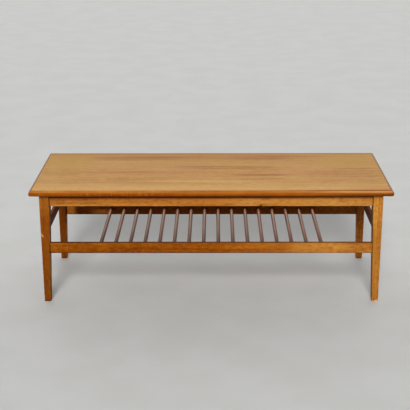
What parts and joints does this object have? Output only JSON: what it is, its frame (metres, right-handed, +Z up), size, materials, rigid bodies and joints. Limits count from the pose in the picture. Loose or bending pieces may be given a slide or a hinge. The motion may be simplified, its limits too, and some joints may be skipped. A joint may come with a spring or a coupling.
{
  "type": "magazine table with rack",
  "caption": "Long low wooden coffee table: veneered top with half-round lipping, tapered square legs and an open magazine rack of round rods carried by two low stretchers.",
  "frame": {"origin": "on the floor, under the middle of the top", "axes": "+X along the table's length, to the right of someone facing the front; +Y from the front to the back; +Z up"},
  "size_m": [1.2, 0.47, 0.403],
  "materials": {
    "core_board": "raw board",
    "balancing_veneer": "thin sealer",
    "top_veneer": "satin lacquer, lengthwise grain",
    "lipping_wood": "satin lacquer",
    "leg_wood": "satin lacquer",
    "rail_wood": "satin lacquer",
    "rod_wood": "satin lacquer, darker stain",
    "dowel_wood": "raw turned hardwood",
    "block_wood": "raw sawn softwood",
    "screw_steel": "plain steel"
  },
  "bodies": {
    "root": {"top_core": "core_board", "under_veneer": "balancing_veneer", "top_veneer": "top_veneer", "lipping_front": "lipping_wood", "lipping_rear": "lipping_wood", "lipping_left": "lipping_wood", "lipping_right": "lipping_wood", "leg_front_left": "leg_wood", "leg_front_right": "leg_wood", "leg_rear_left": "leg_wood", "leg_rear_right": "leg_wood", "apron_front": "rail_wood", "apron_rear": "rail_wood", "stretcher_front": "rail_wood", "stretcher_rear": "rail_wood", "side_rail_left": "rail_wood", "side_rail_right": "rail_wood", "rack_rod_01": "rod_wood", "rack_rod_02": "rod_wood", "rack_rod_03": "rod_wood", "rack_rod_04": "rod_wood", "rack_rod_05": "rod_wood", "rack_rod_06": "rod_wood", "rack_rod_07": "rod_wood", "rack_rod_08": "rod_wood", "rack_rod_09": "rod_wood", "rack_rod_10": "rod_wood", "rack_rod_11": "rod_wood", "rack_rod_12": "rod_wood", "rack_rod_13": "rod_wood", "rack_rod_14": "rod_wood", "rack_rod_15": "rod_wood", "rack_rod_16": "rod_wood", "apron_front_dowels": "dowel_wood", "apron_rear_dowels": "dowel_wood", "stretcher_front_dowels": "dowel_wood", "stretcher_rear_dowels": "dowel_wood", "side_rail_left_dowels": "dowel_wood", "side_rail_right_dowels": "dowel_wood", "fixing_block_front_1": "block_wood", "fixing_block_front_2": "block_wood", "fixing_block_front_3": "block_wood", "fixing_block_rear_1": "block_wood", "fixing_block_rear_2": "block_wood", "fixing_block_rear_3": "block_wood", "top_screws": "screw_steel", "apron_screws": "screw_steel"}
  },
  "joints": []
}
